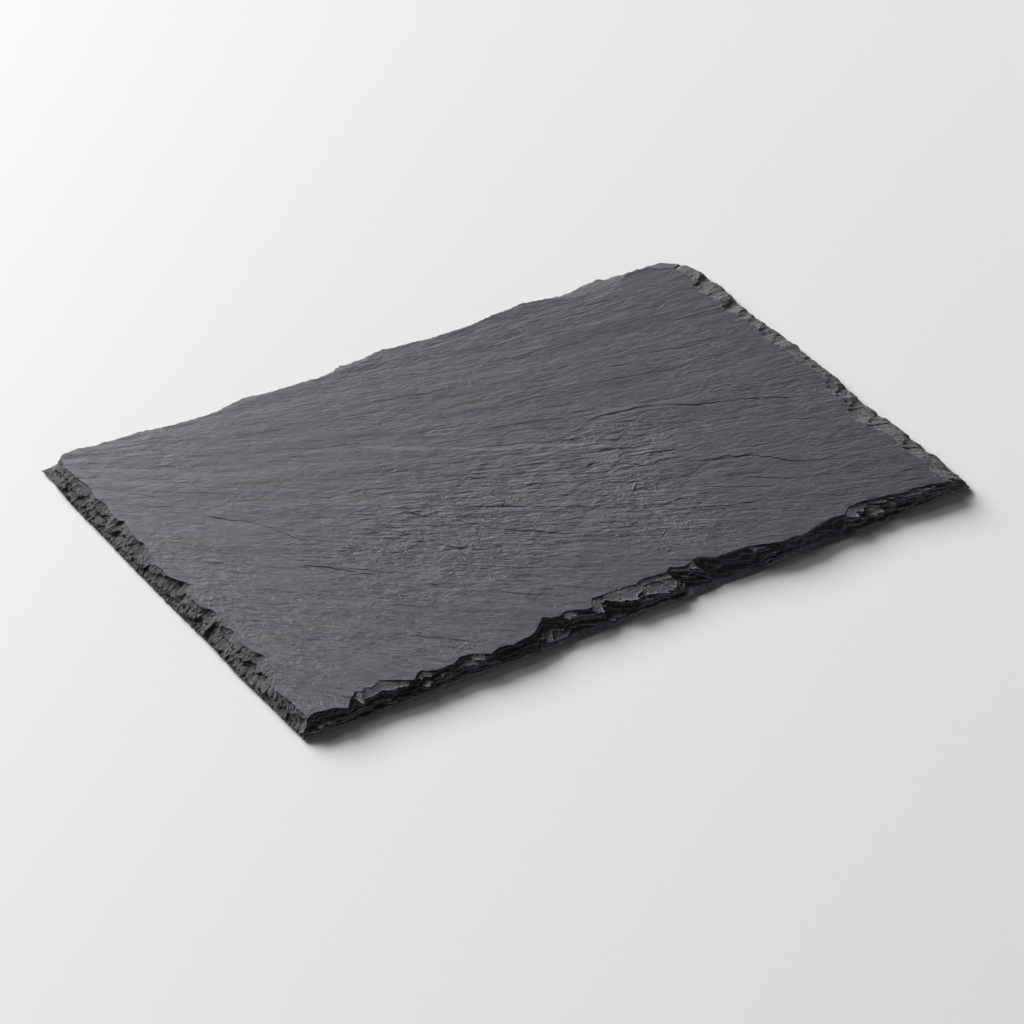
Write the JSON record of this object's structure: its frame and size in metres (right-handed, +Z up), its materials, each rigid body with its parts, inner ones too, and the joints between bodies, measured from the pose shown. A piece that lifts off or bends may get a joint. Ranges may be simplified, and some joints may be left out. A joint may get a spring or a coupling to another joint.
{
  "type": "slate slab",
  "caption": "Thin rectangular serving slab of riven slate with a grained top face, hand-chipped stepped edges and a flat underside to rest on.",
  "frame": {"origin": "middle of the slab's box, at the height of the underside that it rests on", "axes": "+X along the long side, +Y along the short side away from the deeply chipped front edge, +Z up out of the top face"},
  "size_m": [0.3041, 0.2068, 0.0063],
  "materials": {
    "slate": "dry riven slate, matt with a faint silky sheen along the grain, dark blue-grey"
  },
  "bodies": {
    "root": {"slate_slab": "slate"}
  },
  "joints": []
}
